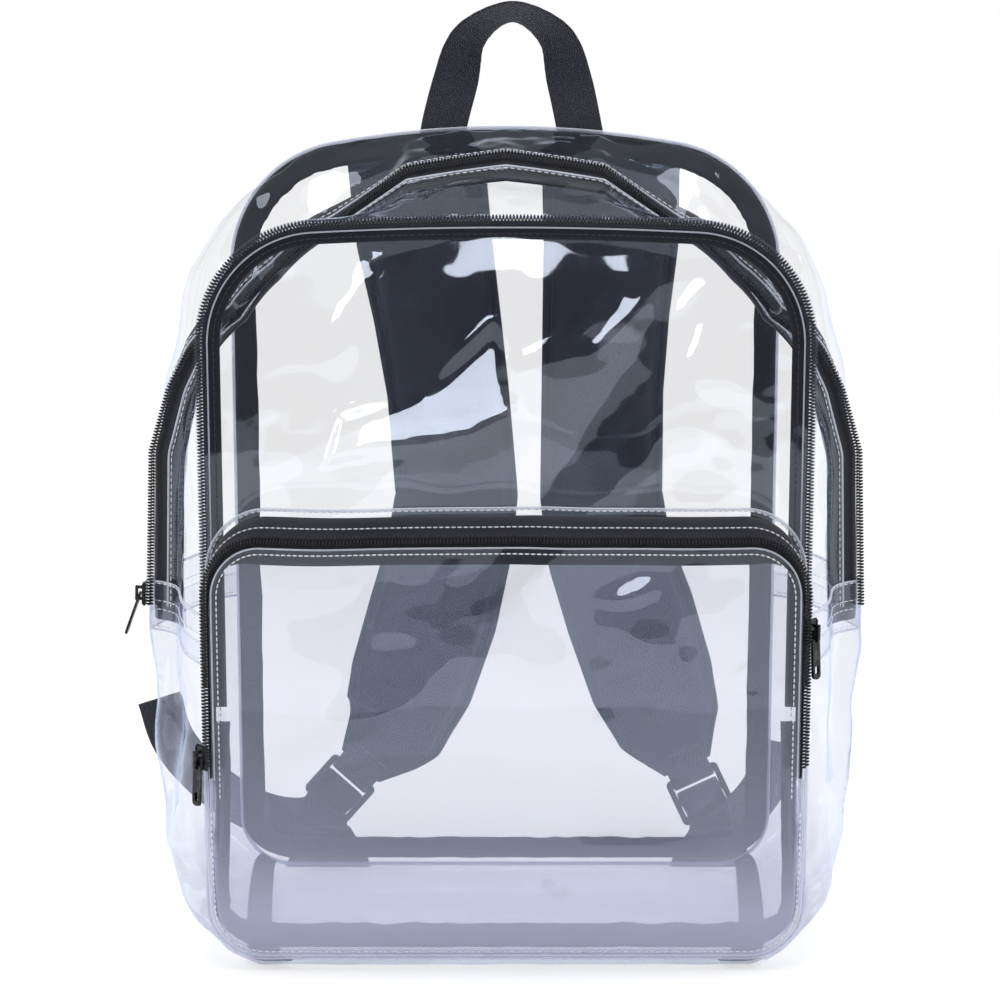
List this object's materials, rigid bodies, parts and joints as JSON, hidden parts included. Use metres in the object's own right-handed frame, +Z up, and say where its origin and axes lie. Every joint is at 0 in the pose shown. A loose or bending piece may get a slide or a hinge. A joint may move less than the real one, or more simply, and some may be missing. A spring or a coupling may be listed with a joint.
{
  "type": "clear backpack",
  "caption": "Clear plastic film backpack with zipped compartments, a front pocket, a webbing grab handle and padded shoulder straps.",
  "frame": {"origin": "On the floor under the middle of the bounding box.", "axes": "+Z up, the front pocket faces -Y, +X is the right-hand side seen from the front. The shoulder straps are on the +Y side."},
  "size_m": [0.411, 0.2402, 0.5025],
  "materials": {
    "film": "clear glossy vinyl film",
    "tape": "woven black polyester tape",
    "coil": "black nylon zip coil",
    "slider": "black painted zip slider",
    "padding": "black woven cloth over foam",
    "plastic": "moulded black acetal",
    "webbing": "black basket-weave polyester webbing"
  },
  "bodies": {
    "body": {"back_panel": "film", "divider_panel": "film", "front_panel": "film", "bottom_panel": "film", "side_gusset_right": "film", "side_gusset_left": "film", "upper_gusset_rear": "film", "upper_gusset_front": "film", "front_gusset": "film", "pocket_gusset_right": "film", "pocket_gusset_left": "film", "pocket_panel": "film", "back_binding": "tape", "front_binding": "tape", "bottom_binding_right": "tape", "bottom_binding_left": "tape", "main_zip_tape": "tape", "front_zip_tape": "tape", "pocket_zip_tape": "tape", "main_zip_coil": "coil", "front_zip_coil": "coil", "pocket_zip_coil": "coil", "main_slider": "slider", "front_slider": "slider", "pocket_slider": "slider", "shoulder_strap_left": "padding", "shoulder_strap_right": "padding", "ladder_lock_left": "plastic", "ladder_lock_right": "plastic", "lock_loop_left": "webbing", "lock_loop_right": "webbing", "anchor_tab_left": "webbing", "anchor_tab_right": "webbing", "strap_webbing_left": "webbing", "strap_webbing_right": "webbing", "grab_handle": "webbing"},
    "main_pull": {"main_pull": "slider"},
    "front_pull": {"front_pull": "slider"},
    "pocket_pull": {"pocket_pull": "slider"}
  },
  "joints": [
    {"name": "main_pull_hinge", "type": "hinge", "parent": "body", "child": "main_pull", "pos_m": [-0.19051, -0.00047, 0.18173], "axis": [-0.0049, 1, 0.0002], "range_deg": [-15, 90]},
    {"name": "front_pull_hinge", "type": "hinge", "parent": "body", "child": "front_pull", "pos_m": [0.16503, -0.09348, 0.18029], "axis": [-0.7071, -0.7071, 0], "range_deg": [-4, 90]},
    {"name": "pocket_pull_hinge", "type": "hinge", "parent": "body", "child": "pocket_pull", "pos_m": [-0.14571, -0.10581, 0.11797], "axis": [-0.7071, 0.7071, 0], "range_deg": [-4, 90]}
  ]
}
